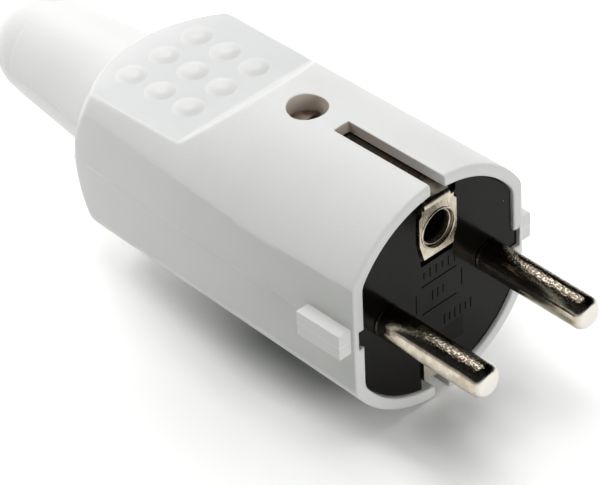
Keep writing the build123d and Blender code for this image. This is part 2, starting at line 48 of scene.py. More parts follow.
# Sizes of the plug in millimetres, as in the part's source
pin_x = 9.5
pin_radius = 2.4
pin_reach = 19.0
shell_radius = 18.2
shell_draft = 0.0205
shell_wall = 1.8
shell_front = -0.5
rest_flat = 0.12
dome_radius = 23.3
dome_centre = 37.6
flat_half_width = 15.9
flat_break = 18.5
flat_slope = 1.4 / 36
grip_front = 36.0
grip_height = 12.1
grip_slope = 0.04
grip_ramp_top = 30.0
bump_radius = 2.1
bump_height = 0.5
bump_pitch_x = 6.1
bump_pitch_y = 5.7
bump_first = 40.7
tail_root_radius = 9.4
tail_step = 77.0
tail_step_radius = 7.5
tail_step_drop = 0.2
tail_end = 83.0
tail_end_radius = 4.8
tail_shoulder_radius = 6.75
tail_shoulder = 80.3
cord_hole_radius = 4.0
cord_funnel_radius = 6.0
cord_funnel_end = 66.0
slot_half_width = 1.35
slot_end = 17.4
tab_reach = 18.1
tab_front = 0.25
tab_back = 8.3
tab_half_height = 2.0
screw_y = 23.9
screw_well_radius = 2.87
screw_boss_radius = 4.7
screw_boss_bottom = 11.5
screw_seat = 13.2
screw_clear_radius = 1.95
# Openings for the insert's lugs, with the fit gap
lug_half_height = 1.55
lug_reach = 15.15
lug_back = 6.15

# Sizes that only the dressed model has: roundings, the mould's flash, and how the grid is laid
rim_round = 0.5
rim_inner_round = 0.25
slot_round = 0.15
patch_half = 5.2
tilt_start = 44.0
edge_round = 0.45
grip_edge_round = 0.3
grip_foot_round = 0.5
dome_edge_round = 0.4
flash_height = 0.13
flash_half_width = 0.14
screw_lip_round = 0.18
tail_blend_radius = 10.2
pin_neck_radius = 2.0
pin_neck_end = 4.0
terminal_half_width = 3.5
terminal_back = 18.35
earth_height = 10.3
through = 9.0  # stands for a cut that goes through the wall


# Nodes and materials


def put(tree, socket, value):
    """Links a socket to another node's output, or sets its plain value."""
    if isinstance(value, bpy.types.NodeSocket):
        tree.links.new(value, socket)
    else:
        socket.default_value = value


def add_node(tree, kind, **values):
    """A node with its inputs set or linked. An underscore in a name stands for a space."""
    node = tree.nodes.new(kind)
    for label, value in values.items():
        put(tree, node.inputs[label.replace("_", " ")], value)
    return node


def maths(tree, operation, *values):
    node = tree.nodes.new("ShaderNodeMath")
    node.operation = operation
    for socket, value in zip(node.inputs, values):
        put(tree, socket, value)
    return node.outputs[0]


def ramp(tree, value, from_min, from_max, to_min=0.0, to_max=1.0, smooth=False):
    """A value mapped from one range to another and held at its ends."""
    node = tree.nodes.new("ShaderNodeMapRange")
    if smooth:
        node.interpolation_type = "SMOOTHSTEP"
    labels = ("Value", "From Min", "From Max", "To Min", "To Max")
    for label, number in zip(labels, (value, from_min, from_max, to_min, to_max)):
        put(tree, node.inputs[label], number)
    return node.outputs["Result"]


def mix_colour(tree, factor, first, second):
    """A colour that runs from the first to the second as the factor rises."""
    node = tree.nodes.new("ShaderNodeMix")
    node.data_type = "RGBA"
    put(tree, node.inputs[0], factor)
    for socket, colour in ((node.inputs[6], first), (node.inputs[7], second)):
        linked = isinstance(colour, bpy.types.NodeSocket)
        put(tree, socket, colour if linked else (*colour, 1))
    return node.outputs[2]


def noise(tree, coords, scale, detail, seed=None):
    node = tree.nodes.new("ShaderNodeTexNoise")
    if seed is not None:
        node.noise_dimensions = "4D"
        put(tree, node.inputs["W"], seed)
    for label, value in (("Vector", coords), ("Scale", scale), ("Detail", detail)):
        put(tree, node.inputs[label], value)
    return node.outputs["Fac"]


def object_place(tree):
    """Object coordinates as a vector, and then x, y and z apart."""
    coords = tree.nodes.new("ShaderNodeTexCoord").outputs["Object"]
    return coords, *add_node(tree, "ShaderNodeSeparateXYZ", Vector=coords).outputs


def node_group(name, inputs, outputs):
    """A shader group with named number sockets, its inputs' sockets and its output node's."""
    group = bpy.data.node_groups.new(name, "ShaderNodeTree")
    for label, value in inputs.items():
        socket = group.interface.new_socket(label, in_out="INPUT", socket_type="NodeSocketFloat")
        socket.default_value = value
    for label in outputs:
        group.interface.new_socket(label, in_out="OUTPUT", socket_type="NodeSocketFloat")
    given = group.nodes.new("NodeGroupInput").outputs
    return group, given, group.nodes.new("NodeGroupOutput").inputs


def mottle_group():
    """Soft patches for colour and a fine grain for height."""
    sizes = {"Patch Size": 90.0, "Grain Size": 2500.0, "Seed": 0.0}
    group, given, out = node_group("mottle", sizes, ("Patches", "Grain"))
    coords = object_place(group)[0]
    put(group, out["Patches"], noise(group, coords, given["Patch Size"], 3.0, given["Seed"]))
    put(group, out["Grain"], noise(group, coords, given["Grain Size"], 2.0, given["Seed"]))
    return group


def speck_group():
    """Sparse small specks of dust or dirt, as a mask."""
    share_left_out = 0.82
    sizes = {"Density": 420.0, "Size": 0.06, "Seed": 0.0}
    group, given, out = node_group("specks", sizes, ("Mask",))
    cells = group.nodes.new("ShaderNodeTexVoronoi")
    cells.voronoi_dimensions = "4D"
    coords = object_place(group)[0]
    for label, value in (("Vector", coords), ("Scale", given["Density"]), ("W", given["Seed"])):
        put(group, cells.inputs[label], value)
    near = maths(group, "LESS_THAN", cells.outputs["Distance"], given["Size"])
    tint = add_node(group, "ShaderNodeSeparateColor", Color=cells.outputs["Color"])
    few = maths(group, "GREATER_THAN", tint.outputs["Red"], share_left_out)
    put(group, out["Mask"], maths(group, "MULTIPLY", near, few))
    return group


def seam_highlight_group():
    """A thin broken line round the piece at one height, as a mask for a painted highlight along the
    mould line.
    """
    sizes = {"Height": 0.0, "Half Width": 0.0001, "Seed": 0.0}
    group, given, out = node_group("seam_highlight_line", sizes, ("Mask",))
    coords, _, _, z = object_place(group)
    away = maths(group, "ABSOLUTE", maths(group, "SUBTRACT", z, given["Height"]))
    line = ramp(group, away, 0.0, given["Half Width"], 1.0, 0.0)
    gaps = ramp(group, noise(group, coords, 90.0, 2.0, given["Seed"]), 0.4, 0.6, 0.25, 1.0)
    put(group, out["Mask"], maths(group, "MULTIPLY", line, gaps))
    return group


def hollow_group():
    """Masks for painted shade inside a slot, stronger deeper in, a painted highlight on the slot's
    lower edge, and painted shade in the screw's well.
    """
    slot_floor, lower_edge = 0.014, 0.0166
    sizes = {"Slot Half Width": 0.00136, "Slot End": 0.0175}
    sizes |= {"Well Y": 0.0239, "Well Radius": 0.0029}
    group, given, out = node_group("hollows", sizes, ("Slot", "Lip", "Well"))
    _, x, y, z = object_place(group)

    def times(first, second):
        return maths(group, "MULTIPLY", first, second)

    def length(first, second):
        return maths(group, "SQRT", maths(group, "ADD", times(first, first), times(second, second)))

    narrow = maths(group, "LESS_THAN", maths(group, "ABSOLUTE", x), given["Slot Half Width"])
    front = maths(group, "LESS_THAN", y, given["Slot End"])
    high = maths(group, "GREATER_THAN", maths(group, "ABSOLUTE", z), slot_floor)
    slot = times(times(narrow, front), high)
    # painted shade inside the slot, growing deeper in
    put(group, out["Slot"], times(slot, ramp(group, y, 0.001, 0.016, 0.15, 1.0)))
    reach = maths(group, "ADD", length(x, z), times(y, shell_draft))
    # painted highlight on the slot's lower edge
    put(group, out["Lip"], times(slot, maths(group, "LESS_THAN", reach, lower_edge)))
    off = maths(group, "SUBTRACT", y, given["Well Y"])
    near = maths(group, "LESS_THAN", length(x, off), given["Well Radius"])
    # painted shade in the screw's well
    put(group, out["Well"], times(near, maths(group, "GREATER_THAN", z, 0.0)))
    return group


mottle = mottle_group()
specks = speck_group()
seam_highlight = seam_highlight_group()
hollows = hollow_group()


def place_group(tree, group, **values):
    """A group's node in a tree, with its inputs set; returns its outputs."""
    node = tree.nodes.new("ShaderNodeGroup")
    node.node_tree = group
    for label, value in values.items():
        node.inputs[label.replace("_", " ")].default_value = value
    return node.outputs


def new_material(name, **values):
    """A material with one Principled shader, its plain values set on its own sockets."""
    material = bpy.data.materials.new(name)
    material.use_nodes = True
    shader = material.node_tree.nodes["Principled BSDF"]
    for label, value in values.items():
        shader.inputs[label.replace("_", " ")].default_value = value
    return material, material.node_tree, shader


def patchy_colour(tree, patches, low, high):
    """A colour between two others, following the middle of a noise."""
    return mix_colour(tree, ramp(tree, patches, 0.3, 0.7), low, high)


def bump_from(tree, shader, height, distance, strength):
    bump = add_node(tree, "ShaderNodeBump", Distance=distance, Strength=strength, Height=height)
    put(tree, shader.inputs["Normal"], bump.outputs["Normal"])


def attribute(tree, name):
    node = tree.nodes.new("ShaderNodeAttribute")
    node.attribute_name = name
    return node.outputs["Fac"]


def rubber_material():
    """Near-white rubber, with dust, a painted highlight along the mould line, and the shell's own
    masks laid over it: painted shade, painted highlights and painted light on the tail.
    """
    material, tree, shader = new_material("white_rubber", Roughness=0.42, Specular_IOR_Level=0.4)
    cloud = place_group(tree, mottle, Patch_Size=70.0, Grain_Size=3200.0, Seed=1.3)
    dust = place_group(tree, specks, Density=360.0, Size=0.07, Seed=4.0)
    line = place_group(tree, seam_highlight, Height=0.00004, Half_Width=0.00016, Seed=6.0)
    inside = place_group(tree, hollows)
    y = object_place(tree)[2]
    # painted light: the tail coloured lighter from 52 to 62 mm along y
    tail = ramp(tree, y, 0.052, 0.062)
    colour = patchy_colour(tree, cloud["Patches"], (0.80, 0.805, 0.793), (0.84, 0.845, 0.83))
    for mask, shade in (
        (dust["Mask"], (0.42, 0.40, 0.37)),
        # painted highlight: the mould line coloured lighter, as where its ridge catches the light
        (line["Mask"], (0.97, 0.97, 0.95)),
        # painted shade on the grip flats
        (attribute(tree, "grip"), (0.745, 0.757, 0.752)),
        # painted shade on the side flats and under the tail
        (attribute(tree, "painted_shade"), (0.53, 0.545, 0.51)),
        # painted highlight on the grip's and dome's edges
        (attribute(tree, "edge_highlight"), (0.98, 0.98, 0.96)),
        # painted shade in the slots and the screw's well, and a painted highlight on the slot's
        # lower edge
        (inside["Slot"], (0.60, 0.52, 0.455)),
        (inside["Lip"], (0.97, 0.93, 0.88)),
        (inside["Well"], (0.78, 0.70, 0.62)),
        # painted light on the tail
        (tail, (0.92, 0.92, 0.905)),
    ):
        colour = mix_colour(tree, mask, colour, shade)
    put(tree, shader.inputs["Base Color"], colour)
    bump_from(tree, shader, cloud["Grain"], 0.00006, 0.35)
    return material


def black_plastic_material():
    material, tree, shader = new_material("black_plastic", Roughness=0.16, Specular_IOR_Level=0.1)
    cloud = place_group(tree, mottle, Patch_Size=160.0, Grain_Size=1500.0, Seed=2.1)
    dust = place_group(tree, specks, Density=620.0, Size=0.07, Seed=7.0)
    low, high = (0.0035, 0.003, 0.0025), (0.0062, 0.0054, 0.0044)
    colour = patchy_colour(tree, cloud["Patches"], low, high)
    colour = mix_colour(tree, dust["Mask"], colour, (0.25, 0.24, 0.22))
    put(tree, shader.inputs["Base Color"], colour)
    bump_from(tree, shader, cloud["Patches"], 0.0002, 0.25)
    return material


def plated_material(name, low, high, roughness, seed, stretch, relief, strength, worn=None):
    """Plated metal between two colours, with fine marks stretched along the piece.
    Between the two heights in worn, the marks grow to their full strength and get dark flecks."""
    material, tree, shader = new_material(name, Metallic=1.0)
    patches = place_group(tree, mottle, Patch_Size=700.0, Grain_Size=4200.0, Seed=seed)["Patches"]
    colour = patchy_colour(tree, patches, low, high)
    rough = ramp(tree, patches, 0.0, 1.0, roughness * 0.8, roughness * 1.35)
    put(tree, shader.inputs["Roughness"], rough)
    coords, _, _, z = object_place(tree)
    drawn = add_node(tree, "ShaderNodeMapping", Scale=stretch, Vector=coords)
    marks = noise(tree, drawn.outputs["Vector"], 1000.0, 3.0)
    if worn is not None:
        top = ramp(tree, z, *worn, 0.12, 1.0)
        flecks = maths(tree, "MULTIPLY", ramp(tree, marks, 0.49, 0.57, 1.0, 0.0), top)
        colour = mix_colour(tree, flecks, colour, (0.20, 0.165, 0.12))
        marks = maths(tree, "MULTIPLY", marks, top)
    put(tree, shader.inputs["Base Color"], colour)
    bump_from(tree, shader, marks, relief, strength)
    return material


def recolour_along_y(material, start, end, shade, metal):
    """Changes a plated piece's colour and metallic look from one place along Y to another."""
    tree = material.node_tree
    shader = tree.nodes["Principled BSDF"]
    colour = shader.inputs["Base Color"].links[0].from_socket
    depth = ramp(tree, object_place(tree)[2], start * MM, end * MM)
    put(tree, shader.inputs["Base Color"], mix_colour(tree, depth, colour, shade))
    put(tree, shader.inputs["Metallic"], ramp(tree, depth, 0.0, 1.0, 1.0, metal))


rubber = rubber_material()
black_plastic = black_plastic_material()

pin_plate = plated_material(
    "nickel_pin", low=(0.44, 0.375, 0.285), high=(0.74, 0.675, 0.56), roughness=0.13, seed=3.0,
    stretch=(3.4, 2.4, 3.4), relief=0.00006, strength=1.0, worn=(0.0017, 0.0021),
)
recolour_along_y(pin_plate, -18.2, -18.9, (0.76, 0.725, 0.675), 1.0)

contact_look = dict(
    low=(0.50, 0.44, 0.35), high=(0.76, 0.69, 0.58), roughness=0.24, seed=5.0,
    stretch=(2.0, 0.8, 0.8), relief=0.00006, strength=0.6,
)
strip_plate = plated_material("nickel_strip", **contact_look)
# some tarnish and painted shade: the strip darker and duller where it runs into the shell
recolour_along_y(strip_plate, 0.6, 3.5, (0.06, 0.047, 0.036), 0.4)
sleeve_plate = plated_material("nickel_sleeve", **contact_look)
# painted shade: the sleeve near black inside its mouth
recolour_along_y(sleeve_plate, -0.1, 0.9, (0.025, 0.02, 0.016), 0.6)

screw_steel = plated_material(
    "zinc_steel", low=(0.22, 0.18, 0.15), high=(0.62, 0.55, 0.46), roughness=0.34, seed=8.0,
    stretch=(1.6, 1.6, 1.6), relief=0.0001, strength=0.8,
)


# The shell's form


def soft_max(a, b, k):
    """The larger of two fields, rounded where they meet."""
    return np.maximum(a, b) + np.maximum(k - np.abs(a - b), 0) ** 2 / (4 * k)


def shell_fields(x, y, z):
    """How far a point lies outside the barrel, side flats, grip flats and dome, in millimetres."""
    far_inside = -9.0
    barrel = np.hypot(x, z) - (shell_radius - shell_draft * y)
    side = np.abs(x) - flat_half_width + flat_slope * np.maximum(y - flat_break, 0)
    ramp_top = shell_radius - shell_draft * grip_ramp_top + 1
    run, drop = grip_front - grip_ramp_top + 1, ramp_top - grip_height
    ramp = ((y - grip_front) * drop + (np.abs(z) - grip_height) * run) / hypot(run, drop)
    grip = np.abs(z) - grip_height + grip_slope * (y - grip_front)
    ball = np.sqrt(x**2 + (y - dome_centre) ** 2 + z**2) - dome_radius
    cut = -soft_max(-ramp, -grip, grip_foot_round)
    return barrel, side, cut, np.where(y > dome_centre, ball, far_inside)


def shell_field(x, y, z):
    """How far a point lies outside the shell's outer form, in millimetres."""
    barrel, side, cut, ball = shell_fields(x, y, z)
    body = soft_max(barrel, side, edge_round)
    body = np.maximum(body, -z - (shell_radius - shell_draft * y - rest_flat))
    return soft_max(soft_max(body, cut, grip_edge_round), ball, dome_edge_round)


def cast(start, way, level):
    """Where rays from inside the shell reach the surface at this level of the field."""
    low, high = np.zeros(level.shape), np.full(level.shape, 1.3)
    for _ in range(34):
        middle = (low + high) / 2
        outside = shell_field(*(start + way * middle)) > level
        high = np.where(outside, middle, high)
        low = np.where(outside, low, middle)
    return start + way * low


def shell_columns():
    """Stations round the shell. Each is (kind, value, slot depth, at a lug, up or down, side)."""
    top = [(x, through) for x in (0.0, 0.45, 0.9, slot_half_width)]
    for turn in (0, 30, 60, 90):
        out = slot_round * (1 - cos(radians(turn)))
        top.append((slot_half_width + out, slot_round * (1 - sin(radians(turn)))))
    top += [(x, 0.0) for x in (1.9, 2.5, 3.1, 3.7, 4.4, patch_half)]
    round_part = np.concatenate(
        [
            np.arange(18.6, 42.5, 1.7),
            np.arange(43.2, 49.0, 0.65),
            np.arange(50.0, 56.5, 1.3),
            np.arange(57.2, 63.0, 0.6),
            np.arange(64.2, 80.5, 1.6),
        ]
    )
    side = [(2.2, False), (lug_half_height, False), (lug_half_height, True)]
    side += [(z, True) for z in (1.0, 0.6, 0.28, 0.14, 0.07, 0.0)]
    quarter = [("x", x, d, False) for x, d in top]
    quarter += [("turn", a, 0.0, False) for a in round_part]
    quarter += [("z", z, 0.0, lug) for z, lug in side]
    half = [(k, v, d, lug, 1) for k, v, d, lug in quarter]
    half += [(k, v, d, lug, -1) for k, v, d, lug in quarter[-2::-1]]
    whole = [c + (1,) for c in half]
    whole += [c + (-1,) for c in half[-2:0:-1]]
    return whole


def shell_rows():
    """Stations along the shell from the rim's outer edge to the tail, then back inside.
    Each is (kind, y or profile point, inset, normal, slot depth)."""
    rows = []
    ys = [0.45, 1.2, 2.6, 4.4, lug_back, 8.5, 11.0, 13.5, 15.4, 16.6, 17.1]
    slot = [(slot_end, through)]
    for turn in (0, 30, 60, 90):
        out, depth = 1 - cos(radians(turn)), 1 - sin(radians(turn))
        slot.append((slot_end + slot_round * out, slot_round * depth))
    patch_low, patch_high = screw_y - patch_half, screw_y + patch_half
    screw_rows = list(np.linspace(patch_low, patch_high, 16))
    matched = [(y, through) for y in ys] + slot + [(18.1, 0.0)]
    matched += [(y, 0.0) for y in screw_rows]

    def dome_y(reach, radius=dome_radius):
        return dome_centre + sqrt(radius**2 - reach**2)

    for turn in (90, 67.5, 45, 22.5, 0):
        c, s = cos(radians(turn)), sin(radians(turn))
        place = shell_front + rim_round * (1 - s)
        rows.append(("ring", place, rim_round * (1 - c), (c, s), through))
    rows += [("ring", y, 0.0, (1, 0), d) for y, d in matched]
    rows += [("ring", y, 0.0, (1, 0), 0.0) for y in np.arange(patch_high + 0.2, 37.2, 0.2)]
    rows += [("ring", y, 0.0, (1, 0), 0.0) for y in np.arange(37.8, tilt_start, 0.8)]
    for y in (*np.arange(tilt_start, 52.4, 0.8), *np.arange(52.6, 53.5, 0.2)):
        rows.append(("dome", (shell_radius - shell_draft * y, y), 0.0, (0, 0), 0.0))
    for reach in np.arange(16.9, 10.3, -0.24):
        rows.append(("dome", (reach, dome_y(reach)), 0.0, (0, 0), 0.0))
    root = dome_y(tail_root_radius)
    slope = (tail_root_radius - tail_step_radius) / (tail_step - root)
    a = np.array((tail_blend_radius, dome_y(tail_blend_radius)))
    b = np.array((tail_root_radius, root))
    c = np.array((tail_root_radius - slope * 0.9, root + 0.9))
    outline = [a * (1 - t) ** 2 + 2 * b * t * (1 - t) + c * t**2 for t in np.linspace(0, 1, 7)]
    for y in np.arange(root + 2, tail_step - 0.2, 1.3):
        outline.append((tail_root_radius - slope * (y - root), y))
    edge = tail_step_radius
    outline += [(edge, tail_step - 0.12), (edge - 0.02, tail_step - 0.03), (edge - 0.07, tail_step)]
    low = edge - tail_step_drop
    outline += [(low + 0.06, tail_step + 0.01), (low + 0.01, tail_step + 0.05)]
    outline.append((low, tail_step + 0.2))
    shoulder = (tail_shoulder_radius, tail_shoulder)
    arc = arc_through((low, tail_step), shoulder, (tail_end_radius, tail_end))
    outline += [arc(t) for t in np.linspace(0.12, 1, 12)]
    outline += [(4.55, tail_end), (4.3, tail_end - 0.04), (4.12, tail_end - 0.14)]
    outline += [(cord_hole_radius, tail_end - 0.35)]
    outline += [(cord_hole_radius, y) for y in (80.0, 76.0, 71.0, cord_funnel_end)]
    outline += [(4.7, 63.2), (5.4, 60.5)]
    inner = dome_radius - shell_wall
    rows += [("turned", p, 0.0, (0, 0), 0.0) for p in outline]
    for reach in (cord_funnel_radius, 8.0, 10.0, 11.5, 13.0, 14.3, 15.2):
        rows.append(("dome", (reach * 1.09, dome_y(reach, inner)), shell_wall, (0, 0), 0.0))
    for y in (50.0, 46.0, 42.0, 38.5, 36.5, 35.0, 33.5, 32.0, 30.5):
        rows.append(("ring", y, shell_wall, (-1, 0), 0.0))
    rows += [("ring", y, shell_wall, (-1, 0), d) for y, d in matched[::-1]]
    for turn in (90, 60, 30, 0):
        c, s = cos(radians(turn)), sin(radians(turn))
        reach = shell_wall - rim_inner_round * (1 - s)
        rows.append(("ring", shell_front + rim_inner_round * (1 - c), reach, (-s, c), through))
    rows += [("ring", shell_front, q, (0, 1), through) for q in (1.25, 0.9)]
    return rows


def arc_through(a, b, c):
    """A circular arc through three points, as a function of 0 to 1."""
    (ax, ay), (bx, by), (cx, cy) = a, b, c
    d = 2 * (ax * (by - cy) + bx * (cy - ay) + cx * (ay - by))
    aa, bb, cc = ax**2 + ay**2, bx**2 + by**2, cx**2 + cy**2
    ox = (aa * (by - cy) + bb * (cy - ay) + cc * (ay - by)) / d
    oy = (aa * (cx - bx) + bb * (ax - cx) + cc * (bx - ax)) / d
    radius = hypot(ax - ox, ay - oy)
    first, last = atan2(ay - oy, ax - ox), atan2(cy - oy, cx - ox)

    def at(t):
        turn = first + (last - first) * t
        return ox + radius * cos(turn), oy + radius * sin(turn)

    return at


def shell_grid():
    """Every vertex of the shell's grid, rows by columns, and its slot depth."""
    columns, rows = shell_columns(), shell_rows()
    count = (len(rows), len(columns))
    start, way = np.zeros((3,) + count), np.zeros((3,) + count)
    level, depth = np.zeros(count), np.zeros(count)
    points, turned = np.zeros((3,) + count), np.zeros(count, bool)
    for j, (kind, value, slot_d, lug, up, right) in enumerate(columns):
        if kind == "turn":
            turn = radians(value)
        elif kind == "x":
            turn = asin(value / 17.8)
        else:
            turn = pi / 2 - asin(value / flat_half_width)
        sx, cz = sin(turn) * right, cos(turn) * up
        flash = flash_height * max(0.0, 1 - value / flash_half_width) if kind == "z" else 0.0
        for i, (form, where, inset, normal, row_d) in enumerate(rows):
            if form == "turned":
                reach, y = where
                ridge = 1 + (flash / reach if y < tail_end - 1 and reach > 6.5 else 0)
                points[:, i, j] = reach * ridge * sx, y, reach * ridge * cz
                turned[i, j] = True
                continue
            if form == "dome":
                reach, y = where
                start[:, i, j] = 0, tilt_start, 0
                way[:, i, j] = reach * sx, y - tilt_start, reach * cz
                level[i, j] = flash - inset
                continue
            d = min(slot_d, row_d)
            y = where + normal[1] * min(d, slot_round)
            q = inset + normal[0] * min(d, slot_round)
            if d == through:
                y, q = max(where, shell_front + shell_wall / 2), shell_wall / 2
            if lug and where < lug_back:
                q = min(q, flat_half_width - lug_reach)
            ease = min(max((where - 30) / 4, 0), 1)
            if kind == "x":
                start[:, i, j] = value * right * (1 - ease), y, 0
                way[:, i, j] = 20 * sx * ease, 0, 20 * (cz * ease + up * (1 - ease))
            elif kind == "z":
                start[:, i, j] = 0, y, value * up * (1 - ease)
                way[:, i, j] = 20 * (sx * ease + right * (1 - ease)), 0, 20 * cz * ease
            else:
                start[:, i, j] = 0, y, 0
                way[:, i, j] = 20 * sx, 0, 20 * cz
            level[i, j] = (flash if inset == 0 and d != through else 0) - q
            depth[i, j] = d
    hit = cast(start, way, level)
    return np.where(turned, points, hit), depth, columns, rows


def build_shell():
    grid, depth, columns, rows = shell_grid()
    row_count, column_count = depth.shape
    vertices = list(map(tuple, grid.reshape(3, -1).T))
    patch_low, patch_high = screw_y - patch_half - 1e-6, screw_y + patch_half + 1e-6
    in_patch = np.zeros(depth.shape, bool)
    side_of = {}
    for i, (form, where, inset, _, _) in enumerate(rows):
        if form != "ring" or not patch_low <= where <= patch_high:
            continue
        side_of.setdefault(inset, []).append(i)
        for j, (kind, _, _, _, up, _) in enumerate(columns):
            in_patch[i, j] = kind == "x" and up > 0
    faces = []
    for i in range(row_count):
        k = (i + 1) % row_count
        for j in range(column_count):
            m = (j + 1) % column_count
            corners = ((i, j), (k, j), (k, m), (i, m))
            if all(in_patch[c] for c in corners) and abs(i - k) == 1:
                continue
            if all(depth[c] == through for c in corners):
                continue
            faces.append([a * column_count + b for a, b in corners])
    order = [j for j in range(column_count) if in_patch[side_of[0.0][0], j]]
    cut = next(n for n in range(len(order)) if order[n] + 1 != order[(n + 1) % len(order)])
    across = order[cut + 1 :] + order[: cut + 1]

    def border(inset):
        """The square border of the screw hole's patch, as vertex numbers in a loop."""
        along = sorted(side_of[inset], key=lambda i: rows[i][1])
        loop = [(along[0], j) for j in across] + [(i, across[-1]) for i in along[1:-1]]
        loop += [(along[-1], j) for j in across[::-1]] + [(i, across[0]) for i in along[-2:0:-1]]
        return [i * column_count + j for i, j in loop]

    def ring(source, radius, share, z):
        """A ring between a square border and a circle, at height z, or on the surface if None."""
        made = []
        for n in source:
            x, y = vertices[n][0], vertices[n][1] - screw_y
            reach = hypot(x, y)
            nearer_x = x + (x / reach * radius - x) * share
            nearer_y = y + (y / reach * radius - y) * share
            made.append((nearer_x, nearer_y + screw_y, z))
        return made

    outer, inner = border(0.0), border(shell_wall)
    rings = [outer]

    def add_ring(points, inset):
        """Adds a ring's points; those without a height go onto the surface at this inset."""
        placed = [(x, y, 0 if z is None else z) for x, y, z in points]
        xs, ys, zs = (np.array(values, float) for values in zip(*placed))
        if points[0][2] is None:
            start = np.array([xs, ys, xs * 0])
            way = np.array([xs * 0, xs * 0, xs * 0 + 20])
            zs = cast(start, way, np.full(xs.shape, -float(inset)))[2]
        first = len(vertices)
        vertices.extend(zip(xs, ys, zs))
        rings.append(list(range(first, first + len(points))))

    lip = screw_lip_round
    for share in (0.3, 0.6, 0.85, 1.0):
        add_ring(ring(outer, screw_well_radius + lip, share, None), 0)
    for turn in (60, 30, 0):
        radius = screw_well_radius + lip - lip * sin(radians(90 - turn))
        add_ring(ring(outer, radius, 1.0, None), lip * (1 - sin(radians(turn))))
    for z in (15.5, screw_seat):
        add_ring(ring(outer, screw_well_radius, 1.0, z), 0)
    for radius, z in (
        (screw_clear_radius, screw_seat),
        (screw_clear_radius, screw_boss_bottom),
        (screw_boss_radius, screw_boss_bottom),
    ):
        add_ring(ring(outer, radius, 1.0, z), 0)
    add_ring(ring(outer, screw_boss_radius, 1.0, None), shell_wall)
    rings.append(inner)
    for a, b in zip(rings, rings[1:]):
        for n in range(len(a)):
            m = (n + 1) % len(a)
            faces.append([a[n], a[m], b[m], b[n]])
    piece = mesh_piece("rubber_shell", vertices, faces, rubber, merge=0.0015)
    mark_shell(piece)
    return piece


def mark_shell(piece):
    """Point masks for the rubber: a painted highlight on the grip's and dome's edges, painted shade
    on the grip flats, and painted shade on the side flats' front and under the tail.
    """
    crease_width, tail_front = 0.22, 59
    places = np.zeros(len(piece.data.vertices) * 3)
    piece.data.vertices.foreach_get("co", places)
    x, y, z = places.reshape(-1, 3).T / MM
    barrel, side, cut, ball = shell_fields(x, y, z)
    body = np.maximum(barrel, side)
    near_cut = np.clip(1 - np.abs(cut - np.maximum(body, ball)) / crease_width, 0, 1)
    near_ball = np.clip(1 - np.abs(ball - np.maximum(body, cut)) / crease_width, 0, 1)
    outside = np.maximum(np.maximum(body, cut), ball) > -0.2
    on_flat = (side > -0.1) * (side > barrel)
    on_tail = (np.hypot(x, z) < tail_root_radius + 0.1) * (y > tail_front)
    masks = {
        # painted highlight along the grip's and dome's edges
        "edge_highlight": np.maximum(near_cut, near_ball) * outside * 0.8,
        # painted shade: the grip flats coloured darker where the light falls strongest
        "grip": (np.abs(cut) < 0.1) * (y > grip_front + 0.3) * 1.0,
        # painted shade: darker towards the front of the side flats, and on the tail's underside
        "painted_shade": on_flat * np.clip((50 - y) / 42, 0, 1) * 0.5
        + on_tail * np.clip(-z / 2, 0, 1) * 0.35,
    }
    for name, values in masks.items():
        layer = piece.data.attributes.new(name, "FLOAT", "POINT")
        layer.data.foreach_set("value", values)


def mesh_piece(name, vertices, faces, material, merge=0.0):
    """A closed piece from points in millimetres, with its doubles merged and its faces outwards."""
    mesh = bpy.data.meshes.new(name)
    mesh.from_pydata([(x * MM, y * MM, z * MM) for x, y, z in vertices], [], faces)
    work = bmesh.new()
    work.from_mesh(mesh)
    if merge:
        bmesh.ops.remove_doubles(work, verts=work.verts, dist=merge * MM)
        bmesh.ops.dissolve_degenerate(work, edges=work.edges, dist=merge * MM / 10)
        loose = [v for v in work.verts if not v.link_faces]
        bmesh.ops.delete(work, geom=loose, context="VERTS")
    bmesh.ops.recalc_face_normals(work, faces=work.faces)
    if work.calc_volume(signed=True) < 0:
        bmesh.ops.reverse_faces(work, faces=work.faces)
    work.to_mesh(mesh)
    work.free()
    mesh.shade_smooth()
    mesh.materials.append(material)
    piece = bpy.data.objects.new(name, mesh)
    bpy.context.scene.collection.objects.link(piece)
    return piece


def settle_modifiers(piece):
    """Turns a piece with modifiers into a plain mesh."""
    graph = bpy.context.evaluated_depsgraph_get()
    mesh = bpy.data.meshes.new_from_object(piece.evaluated_get(graph))
    piece.modifiers.clear()
    piece.data = mesh
    mesh.name = piece.name
    return piece


def weigh_normals(piece):
    """Keeps large faces flat in the shading where they meet small roundings."""
    weigh = piece.modifiers.new("weigh", "WEIGHTED_NORMAL")
    weigh.keep_sharp = False
    weigh.weight = 60
    return settle_modifiers(piece)


shell = weigh_normals(build_shell())
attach(shell, "root")
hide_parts("body_shell")

# Pieces on the shell and the insert


def grown_piece(name, tree, values):
    """A piece grown by a Geometry Nodes tree and made a plain mesh."""
    piece = bpy.data.objects.new(name, bpy.data.meshes.new(name))
    grow = piece.modifiers.new("grow", "NODES")
    grow.node_group = tree
    for item in tree.interface.items_tree:
        if item.in_out == "INPUT" and item.name in values:
            grow[item.identifier] = values[item.name]
    bpy.context.scene.collection.objects.link(piece)
    return settle_modifiers(piece)


